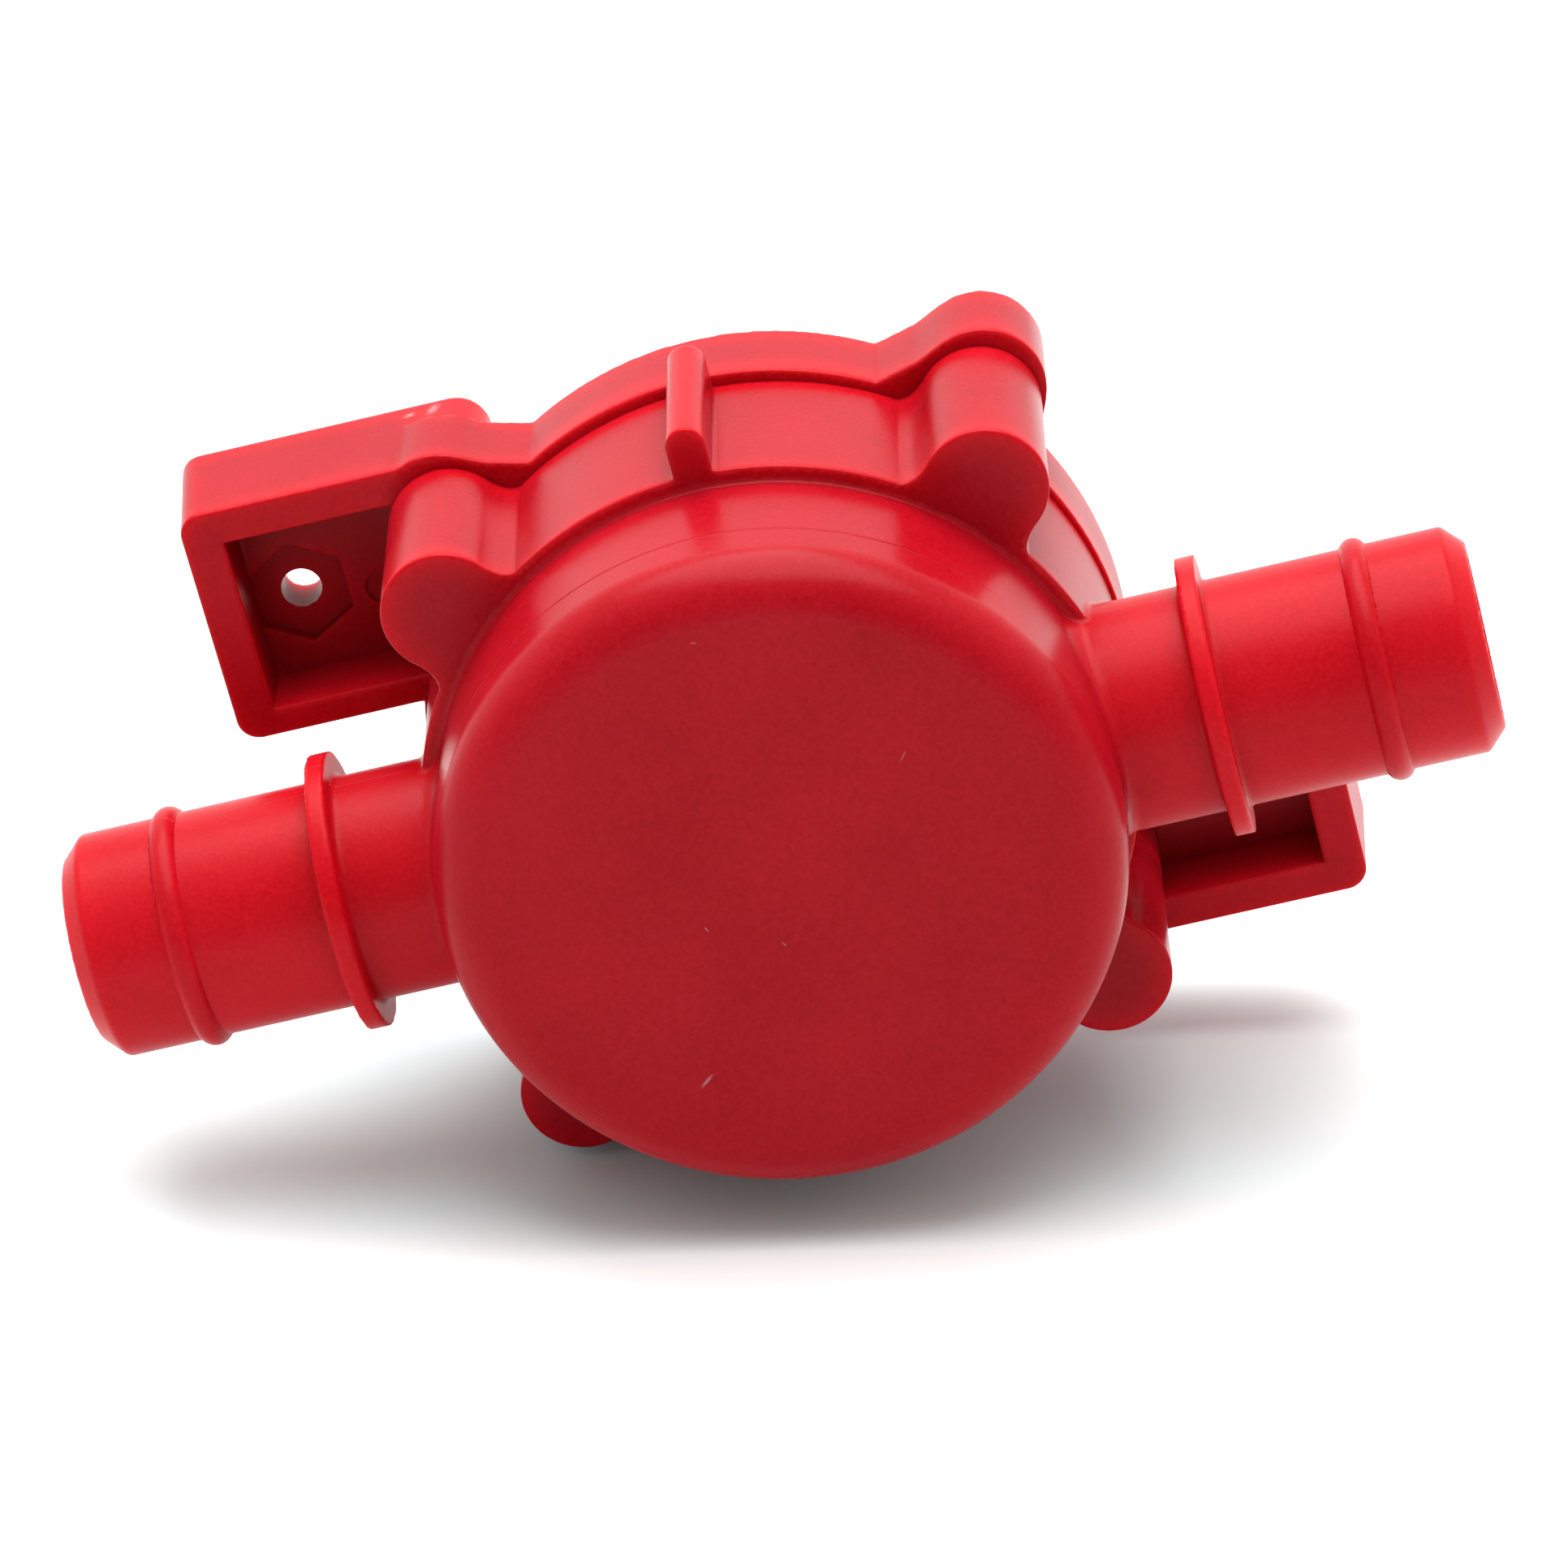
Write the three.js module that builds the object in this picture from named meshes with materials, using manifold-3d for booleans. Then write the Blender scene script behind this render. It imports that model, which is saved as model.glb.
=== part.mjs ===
// Two-port non-return valve for a boat's water or waste hose. A closed round body with in-line hose
// tails is screwed from behind to a flanged cover, whose two box feet bolt to a bulkhead. A divider
// slides into the body and carries the seat and a flap that swings open towards +X.
//
// Units are millimetres. +X runs along the hose tails towards the outlet, -Y faces the closed front
// and +Z is up. The origin is the centre of the bounding box.

import * as THREE from "three";
import { mergeVertices } from "three/addons/utils/BufferGeometryUtils.js";
import Module from "manifold-3d";

const wasm = await Module();
wasm.setup();

// ---- Driving dimensions ----

// Stations along the drum axis, each measured forward from the mounting plane at the back.
const overallDepth = 51.1;
const flangeBack = 4.0;
const coverPlateBack = 10.0;
const jointPlane = 13.4;
const portAxis = 31.9;
const towerFront = 32.6;
const chamberFront = 47.7;

// Gap between pieces that touch.
const gap = 0.3;

// Drum, ring and towers.
const drumRadius = 29.85;
const drumFillet = 5;
const chamberRadius = 26.4;
const ringRadius = 31.3;
const towerOffset = 24;
const towerRadius = 5.5;
const towerBlend = 1.4;
const cornerReach = 26.2;
const ribHalfWidth = 1.7;
const ribReach = 35.7;

// Hose tails.
const tailRoot = 24;
const tailEnd = 62.8;
const tailRadius = 10;
const tailBore = 7.6;
const tailChamfer = 1.8;
const stopStart = 38;
const stopEnd = 39.7;
const stopRadius = 12.33;
const beadCentre = 53.3;
const beadHalfWidth = 1.4;
const beadHeight = 0.65;

// Flange and feet of the cover. Foot sizes are those of the foot at -X, +Z.
const flangeRadius = 32.3;
const flangeOval = 0.98;
const earOffset = 25.15;
const lobeRadius = 5.35;
const lobeFlank = THREE.MathUtils.degToRad(30.8);
const flankRun = 12;
const footOuter = 47.5;
const footInner = 19.8;
const footTop = 29.9;
const footBottom = 8;
const footCorner = 2;
const footFlare = 0.6;
const footFloor = 6;
const pocketOuter = 43.9;
const pocketTop = 27.1;
const pocketBottom = 10.5;
const hexCentre = [-39.8, 17.8];
const hexCircumradius = 4.7;
const hexBottom = 5.2;
const mountHoleRadius = 1.85;
const dimpleCentre = [-32.4, 16.7];
const dimpleRadius = 1.7;
const dimpleDepth = 0.4;
const backRecessRadius = 24.5;
const backRibHalfWidth = 1.25;

// Joint seal and fastenings.
const oRingRadius = 29;
const oRingSection = 0.85;
const oRingGrooveDepth = 1.7;
const oRingGrooveHalfWidth = 1.1;
const screwRadius = 1.75;
const screwTip = 26;
const screwPointLength = 2.5;
const pilotRadius = 1.85;
const pilotEnd = 27;
const screwClearance = 2.1;
const washerRadius = 3.9;
const washerThickness = 0.8;
const headRadius = 3.3;
const headHeight = 2.1;
const headEdge = [0.7, 0.9];
const counterboreRadius = 4.4;
const crossHalfLength = 1.7;
const crossHalfWidth = 0.4;
const crossDepth = 1.1;

// Divider with its seal and seat.
const plateLeft = -7.4;
const plateRight = -3.5;
const plateHalfHeight = 23.2;
const plateBack = 15.35;
const plateFront = 45.6;
const edgeSealWidth = 1.5;
const edgeSealHalfThickness = 1.55;
const guideThickness = 1.5;
const guideInner = 21.5;
const guideDepth = 3.2;
const seatHoleRadius = 9.9;
const seatOuterRadius = 9.6;
const seatLeft = -6.6;
const seatRight = -2.7;

// Hinge.
const hingeX = -0.7;
const hingeZ = 15;
const pinRadius = 1.5;
const pinHoleRadius = 1.57;
const pinHalfLength = 9.6;
const earInner = 5.3;
const earOuter = 7.9;
const earRadius = 3.1;
const clipThickness = 0.6;
const clipRadius = 2.6;
const knuckleHalfLength = 5;
const knuckleRadius = 2.4;
const tailAbovePin = 3.2;

// Flap stack, from the seat side to the outlet side.
const flapHoleRadius = 1.6;
const flapScrewRadius = 1.5;
const flapScrewEnd = 5.2;
const flapHeadRadius = 2.7;
const flapHeadLeft = -5.6;
const flapWasherLeft = -3.7;
const flapWasherRight = -2.7;
const flapWasherRadius = 5.5;
const flapSealLeft = -2.4;
const flapSealRight = -0.4;
const flapSealRadius = 11.5;
const flapPlateLeft = -0.1;
const flapPlateRight = 1.9;
const flapPlateRadius = 10.6;
const armHalfWidth = 4.6;
const nutLeft = 2.2;
const nutRight = 4.6;
const nutCircumradius = 3.2;

// Facets round a full turn.
const drumFacets = 64;
const tailFacets = 40;
const smallFacets = 24;

// ---- Shape helpers ----

const { PI, cos, sin, sqrt, atan2, hypot } = Math;

// Y of a station measured forward from the mounting plane.
const yAt = (forward) => overallDepth / 2 - forward;

// Station of a Y coordinate.
const stationAt = (y) => overallDepth / 2 - y;

const portY = yAt(portAxis);

// Closed solid of a three.js geometry, for cutting and joining.
function solidOf(geometry) {
  const bare = geometry.clone();
  bare.deleteAttribute("normal");
  bare.deleteAttribute("uv");
  const welded = mergeVertices(bare, 1e-4);
  const corners = welded.index.array;
  const kept = [];
  for (let i = 0; i < corners.length; i += 3) {
    const [a, b, c] = [corners[i], corners[i + 1], corners[i + 2]];
    if (a !== b && b !== c && c !== a) {
      kept.push(a, b, c);
    }
  }
  const vertProperties = Float32Array.from(welded.attributes.position.array);
  return new wasm.Manifold(new wasm.Mesh({ numProp: 3, vertProperties, triVerts: Uint32Array.from(kept) }));
}

function geometryOf(solid) {
  const mesh = solid.getMesh();
  const geometry = new THREE.BufferGeometry();
  geometry.setAttribute("position", new THREE.BufferAttribute(mesh.vertProperties, 3));
  geometry.setIndex(new THREE.BufferAttribute(mesh.triVerts, 1));
  geometry.computeVertexNormals();
  return geometry;
}

const joined = (first, ...others) => others.reduce((sum, other) => sum.add(other), first);
const cut = (first, ...others) => others.reduce((rest, other) => rest.subtract(other), first);

// Profile points [radius, height] turned about Y. The list runs up the outside and closes itself.
function turned(profile, facets) {
  const points = [...profile, profile[0]].map(([radius, height]) => new THREE.Vector2(radius, height));
  return new THREE.LatheGeometry(points, facets);
}

// Cylinder or ring about an axis parallel to Y, between two stations.
function roundY(radius, back, front, [x, z] = [0, 0], facets = smallFacets) {
  const geometry = new THREE.CylinderGeometry(radius, radius, front - back, facets);
  return solidOf(geometry.translate(x, yAt((back + front) / 2), z));
}

// Cylinder about an axis parallel to X, centred on the port axis unless y and z are given.
function roundX(radius, left, right, { y = portY, z = 0, facets = smallFacets } = {}) {
  const geometry = new THREE.CylinderGeometry(radius, radius, right - left, facets);
  return solidOf(geometry.rotateZ(-PI / 2).translate((left + right) / 2, y, z));
}

// Outline drawn in X and Z, extruded forward between two stations.
function extrudedY(shape, back, front, curveSegments = 12) {
  const geometry = new THREE.ExtrudeGeometry(shape, { depth: front - back, bevelEnabled: false, curveSegments });
  return solidOf(geometry.rotateX(PI / 2).translate(0, yAt(back), 0));
}

function box([x0, x1], [y0, y1], [z0, z1]) {
  const geometry = new THREE.BoxGeometry(x1 - x0, y1 - y0, z1 - z0);
  return solidOf(geometry.translate((x0 + x1) / 2, (y0 + y1) / 2, (z0 + z1) / 2));
}

function hexShape(centre, circumradius) {
  const points = [];
  for (let corner = 0; corner < 6; corner += 1) {
    const angle = PI / 2 + (corner * PI) / 3;
    points.push(new THREE.Vector2(centre[0] + circumradius * cos(angle), centre[1] + circumradius * sin(angle)));
  }
  return new THREE.Shape(points);
}

function arcPoints(centre, radius, start, end, steps) {
  const points = [];
  for (let step = 0; step <= steps; step += 1) {
    const angle = start + ((end - start) * step) / steps;
    points.push(new THREE.Vector2(centre[0] + radius * cos(angle), centre[1] + radius * sin(angle)));
  }
  return points;
}

// Solid turned half a turn about Y, which carries one foot to the other.
const opposite = (solid) => solid.rotate([0, 180, 0]);

const towerCentres = [
  [-towerOffset, towerOffset],
  [towerOffset, towerOffset],
  [towerOffset, -towerOffset],
  [-towerOffset, -towerOffset],
];

// ---- Body ----

// Ring with four square corners. Each corner carries a round screw tower, with a hollow arc on both
// sides of it. The corner's sides meet the ring in sharp creases.
function ringOutline() {
  const crease = sqrt(ringRadius ** 2 - cornerReach ** 2);
  const creaseAngle = atan2(crease, cornerReach);
  const blendOut = cornerReach + towerBlend;
  const blendIn = towerOffset - sqrt((towerRadius + towerBlend) ** 2 - (blendOut - towerOffset) ** 2);
  const towerStart = atan2(blendIn - towerOffset, blendOut - towerOffset);
  const quarter = [
    ...arcPoints([0, 0], ringRadius, -creaseAngle, creaseAngle, 12),
    ...arcPoints([blendOut, blendIn], towerBlend, PI, PI + towerStart, 4),
    ...arcPoints([towerOffset, towerOffset], towerRadius, towerStart, PI / 2 - towerStart, 14).slice(1, -1),
    ...arcPoints([blendIn, blendOut], towerBlend, -PI / 2 - towerStart, -PI / 2, 4),
  ];
  const middle = new THREE.Vector2();
  const turns = [0, 1, 2, 3].map((turn) => (turn * PI) / 2);
  return new THREE.Shape(turns.flatMap((turn) => quarter.map((point) => point.clone().rotateAround(middle, turn))));
}

function ribOutline(side) {
  const shape = new THREE.Shape();
  const roundStart = ribReach - ribHalfWidth;
  shape.moveTo(ribHalfWidth, side * (chamberRadius + 2));
  shape.lineTo(ribHalfWidth, side * roundStart);
  shape.absarc(0, side * roundStart, ribHalfWidth, 0, side * PI, side < 0);
  shape.lineTo(-ribHalfWidth, side * (chamberRadius + 2));
  return shape;
}

// One hose tail, from inside the drum wall to its chamfered end.
function hoseTail(side) {
  const bead = [];
  for (let step = 0; step <= 6; step += 1) {
    const along = -1 + step / 3;
    bead.push([tailRadius + beadHeight * cos((along * PI) / 2), beadCentre + along * beadHalfWidth]);
  }
  const profile = [
    [0, tailRoot],
    [tailRadius, tailRoot],
    [tailRadius, stopStart],
    [stopRadius, stopStart],
    [stopRadius, stopEnd],
    [tailRadius, stopEnd],
    ...bead,
    [tailRadius, tailEnd - tailChamfer],
    [tailRadius - tailChamfer, tailEnd],
    [0, tailEnd],
  ];
  const geometry = turned(profile, tailFacets).rotateZ((-side * PI) / 2);
  return solidOf(geometry.translate(0, portY, 0));
}

function valveBody() {
  const back = jointPlane + gap / 2;
  const fillet = arcPoints([drumRadius - drumFillet, 0], drumFillet, 0, PI / 2, 6);
  const filletY = overallDepth - drumFillet;
  const drumProfile = [[0, back], [drumRadius, back], ...fillet.map(({ x, y }) => [x, filletY + y]), [0, overallDepth]];
  const drum = solidOf(turned(drumProfile.map(([radius, forward]) => [radius, yAt(forward)]).reverse(), drumFacets));
  const ring = extrudedY(ringOutline(), back, towerFront);
  const ribs = [1, -1].map((side) => extrudedY(ribOutline(side), back, towerFront));
  const shell = joined(drum, ring, ...ribs, hoseTail(1), hoseTail(-1));

  const chamber = roundY(chamberRadius, jointPlane - 1, chamberFront, [0, 0], drumFacets);
  const bores = roundX(tailBore, -tailEnd - 1, tailEnd + 1, { facets: tailFacets });
  const pilots = towerCentres.map((centre) => roundY(pilotRadius, jointPlane - 1, pilotEnd, centre));
  return joined(cut(shell, chamber, bores, ...pilots), ...guideRails());
}

// Rails that hold the divider's edge at the top, the bottom and the front of the chamber.
function guideRails() {
  const back = jointPlane + 2 * gap + guideDepth;
  const wall = roundY(chamberRadius + 1, back, chamberFront + 1, [0, 0], drumFacets);
  const rails = [];
  for (const left of [plateLeft - gap - guideThickness, plateRight + gap]) {
    const across = [left, left + guideThickness];
    const along = [yAt(chamberFront + 1), yAt(back)];
    rails.push(box(across, along, [guideInner, chamberRadius + 1]).intersect(wall));
    rails.push(box(across, along, [-chamberRadius - 1, -guideInner]).intersect(wall));
    const front = [yAt(chamberFront + 1), yAt(chamberFront - guideDepth)];
    rails.push(box(across, front, [-guideInner - 1, guideInner + 1]).intersect(wall));
  }
  return rails;
}

// ---- Cover ----

// Ring with four ears: two straight flanks run from each ear's round end back into the ring. The
// outline is slightly narrower along X than it is high.
function flangeSolid(back, front) {
  const reach = hypot(earOffset, earOffset);
  const roundHalf = PI / 2 - lobeFlank;
  const ears = [];
  for (let quarter = 0; quarter < 4; quarter += 1) {
    const aim = PI / 4 + (quarter * PI) / 2;
    const ear = [reach * cos(aim), reach * sin(aim)];
    const round = arcPoints(ear, lobeRadius, aim - roundHalf, aim + roundHalf, 14);
    const root = (point, angle) => new THREE.Vector2(point.x - flankRun * cos(angle), point.y - flankRun * sin(angle));
    const outline = [root(round[0], aim + lobeFlank), ...round, root(round.at(-1), aim - lobeFlank)];
    ears.push(extrudedY(new THREE.Shape(outline), back, front));
  }
  return joined(roundY(flangeRadius, back, front, [0, 0], drumFacets), ...ears).scale([flangeOval, 1, 1]);
}

// Outer block of the foot at -X, +Z, with round corners at its far end. Its three outer sides spread
// towards the mounting plane, which is the draft that frees the pocket's core.
function footBlock() {
  const front = jointPlane - gap / 2;
  const shape = new THREE.Shape();
  shape.moveTo(-towerOffset, footBottom);
  shape.lineTo(-towerOffset, footTop);
  shape.lineTo(-footOuter + footCorner, footTop);
  shape.absarc(-footOuter + footCorner, footTop - footCorner, footCorner, PI / 2, PI, false);
  shape.absarc(-footOuter + footCorner, footBottom + footCorner, footCorner, PI, 1.5 * PI, false);
  const geometry = new THREE.ExtrudeGeometry(shape, { depth: front, bevelEnabled: false, curveSegments: 4 });
  const position = geometry.attributes.position;
  const middle = (footTop + footBottom) / 2;
  const halfHeight = (footTop - footBottom) / 2;
  for (let i = 0; i < position.count; i += 1) {
    const spread = footFlare * (1 - position.getZ(i) / front);
    const outward = (-towerOffset - position.getX(i)) / (footOuter - towerOffset);
    position.setX(i, position.getX(i) - spread * outward);
    position.setY(i, position.getY(i) + (spread * (position.getY(i) - middle)) / halfHeight);
  }
  return solidOf(geometry.rotateX(PI / 2).translate(0, yAt(0), 0));
}

// Everything added for the foot at -X, +Z. Behind the flange it carries the ear's outline on, down to
// the mounting plane.
function footSolid() {
  const along = [yAt(flangeBack + 1), yAt(0)];
  const standOff = box([-footOuter, -footInner], along, [footBottom, footTop + lobeRadius]);
  return joined(footBlock(), flangeSolid(0, flangeBack + 1).intersect(standOff));
}

// Open pocket of the same foot, down to its floor, with the hexagon, the hole and the round dimple.
function footPocket(front) {
  const open = box([-pocketOuter, -towerOffset], [yAt(front + 1), yAt(footFloor)], [pocketBottom, pocketTop]);
  const kept = flangeSolid(0, front + 2);
  return joined(
    cut(open, kept),
    extrudedY(hexShape(hexCentre, hexCircumradius), hexBottom, footFloor + 1),
    roundY(mountHoleRadius, -1, footFloor + 1, hexCentre),
    roundY(dimpleRadius, footFloor - dimpleDepth, footFloor + 1, dimpleCentre),
  );
}

// Recess in the back of the cover, left open round two crossing ribs.
function backRecess() {
  const disc = roundY(backRecessRadius, -1, coverPlateBack, [0, 0], drumFacets);
  const reach = backRecessRadius + 1;
  const along = [yAt(coverPlateBack + 1), yAt(-2)];
  const upright = box([-backRibHalfWidth, backRibHalfWidth], along, [-reach, reach]);
  const level = box([-reach, reach], along, [-backRibHalfWidth, backRibHalfWidth]);
  return cut(disc, upright, level);
}

function rearCover() {
  const front = jointPlane - gap / 2;
  const foot = footSolid();
  const pocket = footPocket(front);
  const shell = joined(flangeSolid(flangeBack, front), foot, opposite(foot));
  const groove = [
    [oRingRadius - oRingGrooveHalfWidth, yAt(front - oRingGrooveDepth)],
    [oRingRadius + oRingGrooveHalfWidth, yAt(front - oRingGrooveDepth)],
    [oRingRadius + oRingGrooveHalfWidth, yAt(front + 1)],
    [oRingRadius - oRingGrooveHalfWidth, yAt(front + 1)],
  ];
  const holes = towerCentres.flatMap((centre) => [
    roundY(screwClearance, -1, front + 1, centre),
    roundY(counterboreRadius, -1, flangeBack, centre, tailFacets),
  ]);
  const grooveSolid = solidOf(turned(groove.reverse(), drumFacets));
  return joined(cut(shell, pocket, opposite(pocket), backRecess(), grooveSolid, ...holes), ...coverRails(front));
}

// Rails on the cover's inner face that close the divider's slot at the back.
function coverRails(front) {
  const along = [yAt(front + guideDepth), yAt(front - 1)];
  const up = [-guideInner + guideThickness, guideInner - guideThickness];
  const lefts = [plateLeft - gap - guideThickness, plateRight + gap];
  return lefts.map((left) => box([left, left + guideThickness], along, up));
}

function coverORing() {
  const centre = jointPlane - gap / 2 - oRingGrooveDepth / 2 + gap / 4;
  const section = arcPoints([oRingRadius, yAt(centre)], oRingSection, 0, 2 * PI, 8).slice(0, -1);
  return solidOf(turned(section.map(({ x, y }) => [x, y]), drumFacets));
}

// ---- Cover screws and washers ----

function coverScrew(centre) {
  const headBack = flangeBack - washerThickness - gap / 2;
  const seat = headBack - headHeight;
  const profile = [
    [0, seat],
    [headRadius - headEdge[0], seat],
    [headRadius, seat + headEdge[1]],
    [headRadius, headBack],
    [screwRadius, headBack],
    [screwRadius, screwTip - screwPointLength],
    [0, screwTip],
  ];
  const points = profile.map(([radius, forward]) => [radius, yAt(forward)]).reverse();
  const screw = solidOf(turned(points, smallFacets).translate(centre[0], 0, centre[1]));
  const along = [yAt(seat + crossDepth), yAt(seat - 1)];
  const long = [-crossHalfLength, crossHalfLength];
  const wide = [-crossHalfWidth, crossHalfWidth];
  const slots = [box(long, along, wide), box(wide, along, long)];
  return cut(screw, ...slots.map((slot) => slot.translate([centre[0], 0, centre[1]])));
}

function screwWasher(centre) {
  const front = flangeBack - gap / 4;
  const back = front - washerThickness + gap / 4;
  const disc = roundY(washerRadius, back, front, centre);
  return cut(disc, roundY(screwClearance, back - 1, front + 1, centre));
}

// ---- Divider ----

function seatPlate() {
  const slab = box([plateLeft, plateRight], [yAt(plateFront), yAt(plateBack)], [-plateHalfHeight, plateHalfHeight]);
  const ears = [-1, 1].map((side) => {
    const near = side * earInner;
    const far = side * earOuter;
    return hingeLug(portY + Math.min(near, far), portY + Math.max(near, far));
  });
  const seatHole = roundX(seatHoleRadius, plateLeft - 1, plateRight + 1, { facets: tailFacets });
  const pinHole = roundY(pinHoleRadius, 0, overallDepth, [hingeX, hingeZ], tailFacets);
  return joined(cut(joined(slab, ...ears), seatHole, pinHole), seatLedge());
}

// Ear that carries the hinge pin: a block from the divider with a round end at the pin.
function hingeLug(near, far) {
  const round = roundY(earRadius, stationAt(far), stationAt(near), [hingeX, hingeZ], tailFacets);
  const arm = box([plateRight - 0.5, hingeX], [near, far], [hingeZ - earRadius, hingeZ + earRadius]);
  return joined(round, arm);
}

// Ledge on the inlet side that stops the seat ring.
function seatLedge() {
  const disc = roundX(seatHoleRadius + 0.5, plateLeft, seatLeft - gap, { facets: tailFacets });
  return cut(disc, roundX(tailBore, plateLeft - 1, seatLeft, { facets: tailFacets }));
}

// Rubber loop round the divider's four edges.
function seatPlateSeal() {
  const middle = (plateLeft + plateRight) / 2;
  const across = [middle - edgeSealHalfThickness, middle + edgeSealHalfThickness];
  const reach = gap + edgeSealWidth;
  const outer = box(across, [yAt(plateFront + reach), yAt(plateBack - reach)], [
    -plateHalfHeight - reach,
    plateHalfHeight + reach,
  ]);
  const inner = box([across[0] - 1, across[1] + 1], [yAt(plateFront + gap), yAt(plateBack - gap)], [
    -plateHalfHeight - gap,
    plateHalfHeight + gap,
  ]);
  return cut(outer, inner);
}

function seatRing() {
  const ring = roundX(seatOuterRadius, seatLeft, seatRight, { facets: tailFacets });
  return cut(ring, roundX(tailBore, seatLeft - 1, seatRight + 1, { facets: tailFacets }));
}

// ---- Hinge and flap ----

function hingePin() {
  return roundY(pinRadius, portAxis - pinHalfLength, portAxis + pinHalfLength, [hingeX, hingeZ]);
}

function pinClip(side) {
  const near = portY + side * (earOuter + gap);
  const far = near + side * clipThickness;
  const [back, front] = [stationAt(Math.max(near, far)), stationAt(Math.min(near, far))];
  const disc = roundY(clipRadius, back, front, [hingeX, hingeZ]);
  return cut(disc, roundY(pinHoleRadius, back - 1, front + 1, [hingeX, hingeZ], tailFacets));
}

function flapPlate() {
  const across = [flapPlateLeft, flapPlateRight];
  const disc = roundX(flapPlateRadius, ...across, { facets: tailFacets });
  const arm = box(across, [portY - armHalfWidth, portY + armHalfWidth], [0, hingeZ + tailAbovePin]);
  const width = [portAxis - knuckleHalfLength, portAxis + knuckleHalfLength];
  const knuckle = roundY(knuckleRadius, ...width, [hingeX, hingeZ], tailFacets);
  const pinHole = roundY(pinHoleRadius, 0, overallDepth, [hingeX, hingeZ], tailFacets);
  return cut(joined(disc, arm, knuckle), pinHole, flapHole());
}

const flapHole = () => roundX(flapHoleRadius, flapHeadLeft, flapScrewEnd);

function flapSeal() {
  return cut(roundX(flapSealRadius, flapSealLeft, flapSealRight, { facets: tailFacets }), flapHole());
}

function flapWasher() {
  return cut(roundX(flapWasherRadius, flapWasherLeft, flapWasherRight), flapHole());
}

function flapScrew() {
  const head = roundX(flapHeadRadius, flapHeadLeft, flapWasherLeft - gap);
  const slot = box(
    [flapHeadLeft - 1, flapHeadLeft + crossDepth],
    [portY - crossHalfWidth, portY + crossHalfWidth],
    [-flapHeadRadius - 1, flapHeadRadius + 1],
  );
  return joined(cut(head, slot), roundX(flapScrewRadius, flapWasherLeft - gap - 0.1, flapScrewEnd));
}

function flapNut() {
  const shape = hexShape([0, 0], nutCircumradius);
  const geometry = new THREE.ExtrudeGeometry(shape, { depth: nutRight - nutLeft, bevelEnabled: false });
  return cut(solidOf(geometry.rotateY(PI / 2).translate(nutLeft, portY, 0)), flapHole());
}

// ---- Assembly ----

const redPlastic = new THREE.MeshStandardMaterial({ color: 0xb8202a, roughness: 0.42, metalness: 0 });
const blackRubber = new THREE.MeshStandardMaterial({ color: 0x1c1c1e, roughness: 0.8, metalness: 0 });
const greyPlastic = new THREE.MeshStandardMaterial({ color: 0x8d9092, roughness: 0.5, metalness: 0 });
const steel = new THREE.MeshStandardMaterial({ color: 0xb9bbbd, roughness: 0.32, metalness: 1 });

const part = new THREE.Group();

function addPiece(name, solid, material) {
  const mesh = new THREE.Mesh(geometryOf(solid), material);
  mesh.name = name;
  part.add(mesh);
}

addPiece("valve_body", valveBody(), redPlastic);
addPiece("rear_cover", rearCover(), redPlastic);
addPiece("cover_o_ring", coverORing(), blackRubber);
towerCentres.forEach((centre, index) => {
  addPiece(`cover_screw_${index + 1}`, coverScrew(centre), steel);
  addPiece(`screw_washer_${index + 1}`, screwWasher(centre), steel);
});
addPiece("seat_plate", seatPlate(), greyPlastic);
addPiece("seat_plate_seal", seatPlateSeal(), blackRubber);
addPiece("seat_ring", seatRing(), steel);
addPiece("hinge_pin", hingePin(), steel);
addPiece("pin_clip_1", pinClip(-1), steel);
addPiece("pin_clip_2", pinClip(1), steel);
addPiece("flap_plate", flapPlate(), steel);
addPiece("flap_seal", flapSeal(), blackRubber);
addPiece("flap_washer", flapWasher(), steel);
addPiece("flap_screw", flapScrew(), steel);
addPiece("flap_nut", flapNut(), steel);

export default part;
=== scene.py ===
# Looks for a two-port non-return valve: a red moulded body with in-line hose tails, screwed to a
# flanged cover with two feet. The two mouldings are rebuilt with their real fillets and moulding
# marks; the other pieces keep their CAD shape and get new materials.
#
# Shape code works in millimetres, in the frame of the CAD. "s" is the distance forward of the
# mounting plane, against Y. Blender objects are in metres.

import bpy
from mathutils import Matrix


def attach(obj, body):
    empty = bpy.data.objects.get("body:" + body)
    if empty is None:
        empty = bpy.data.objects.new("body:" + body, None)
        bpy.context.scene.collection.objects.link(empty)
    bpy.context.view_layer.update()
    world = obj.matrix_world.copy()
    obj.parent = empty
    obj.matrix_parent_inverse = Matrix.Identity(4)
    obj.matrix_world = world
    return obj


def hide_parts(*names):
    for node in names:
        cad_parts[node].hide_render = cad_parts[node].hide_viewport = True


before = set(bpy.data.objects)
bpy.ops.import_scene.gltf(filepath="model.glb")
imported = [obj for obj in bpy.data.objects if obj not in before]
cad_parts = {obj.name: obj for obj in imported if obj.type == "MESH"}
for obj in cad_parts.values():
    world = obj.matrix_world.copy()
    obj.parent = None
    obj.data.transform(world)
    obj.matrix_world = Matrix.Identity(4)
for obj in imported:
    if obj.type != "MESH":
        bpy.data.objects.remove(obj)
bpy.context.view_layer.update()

import math

import bpy
import numpy as np
from mathutils import Matrix, Vector

MM = 0.001

# ---- Dimensions ----
# In millimetres. A few differ by some tenths from the CAD, to follow the real outline closely, and
# the joint between the mouldings is all but closed.

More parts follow.
